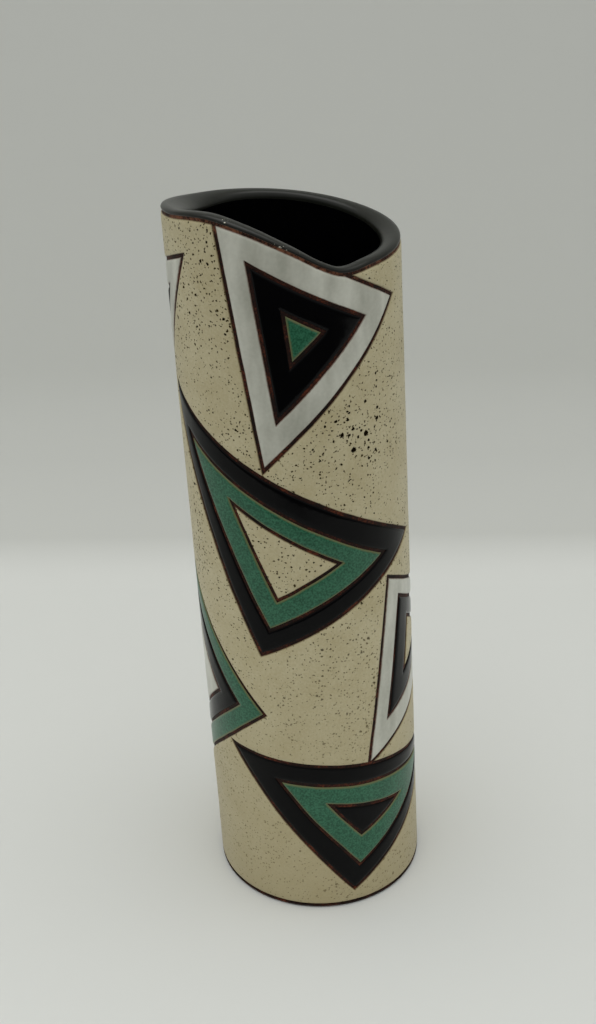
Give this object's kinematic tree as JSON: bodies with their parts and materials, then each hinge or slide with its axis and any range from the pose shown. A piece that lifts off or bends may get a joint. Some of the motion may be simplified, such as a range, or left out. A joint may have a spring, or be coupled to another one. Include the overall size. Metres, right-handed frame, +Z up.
{
  "type": "vase",
  "caption": "Tall round hand-built stoneware vase, leaning a little, with a wavy rounded lip and nested triangles of glaze parted by lines of bare clay.",
  "frame": {"origin": "centre of the round foot, on the surface that the vase stands on", "axes": "+Z up along the body's height, -Y towards the front, where the largest nested triangle and the low dip of the lip face, +X to the right seen from the front. The mouth stands towards -X of the foot, because the body leans"},
  "size_m": [0.0896, 0.0796, 0.2723],
  "materials": {
    "clay": "bare fired red-brown clay, matt and a little rough",
    "black_glaze": "glossy, faintly rippled",
    "white_glaze": "satin, with pale grey mottling",
    "green_glaze": "glossy, mottled dark sea green",
    "cream_glaze": "satin, speckled brown, with small pits"
  },
  "bodies": {
    "root": {"clay_base": "clay", "clay_wall": "clay", "inner_glaze": "black_glaze", "rim_glaze": "black_glaze", "ground_glaze": "cream_glaze", "shoulder_front_outer_glaze": "white_glaze", "shoulder_front_middle_glaze": "black_glaze", "shoulder_front_centre_glaze": "green_glaze", "shoulder_left_outer_glaze": "white_glaze", "shoulder_left_middle_glaze": "black_glaze", "shoulder_left_centre_glaze": "cream_glaze", "shoulder_back_outer_glaze": "black_glaze", "shoulder_back_middle_glaze": "white_glaze", "shoulder_back_centre_glaze": "green_glaze", "waist_front_outer_glaze": "black_glaze", "waist_front_middle_glaze": "green_glaze", "waist_front_centre_glaze": "cream_glaze", "waist_right_outer_glaze": "white_glaze", "waist_right_middle_glaze": "black_glaze", "waist_right_centre_glaze": "cream_glaze", "waist_left_outer_glaze": "green_glaze", "waist_left_middle_glaze": "black_glaze", "waist_left_centre_glaze": "white_glaze", "waist_back_outer_glaze": "white_glaze", "waist_back_middle_glaze": "green_glaze", "waist_back_centre_glaze": "black_glaze", "foot_front_outer_glaze": "black_glaze", "foot_front_middle_glaze": "green_glaze", "foot_front_centre_glaze": "black_glaze", "foot_back_outer_glaze": "green_glaze", "foot_back_middle_glaze": "black_glaze", "foot_back_centre_glaze": "white_glaze"}
  },
  "joints": []
}
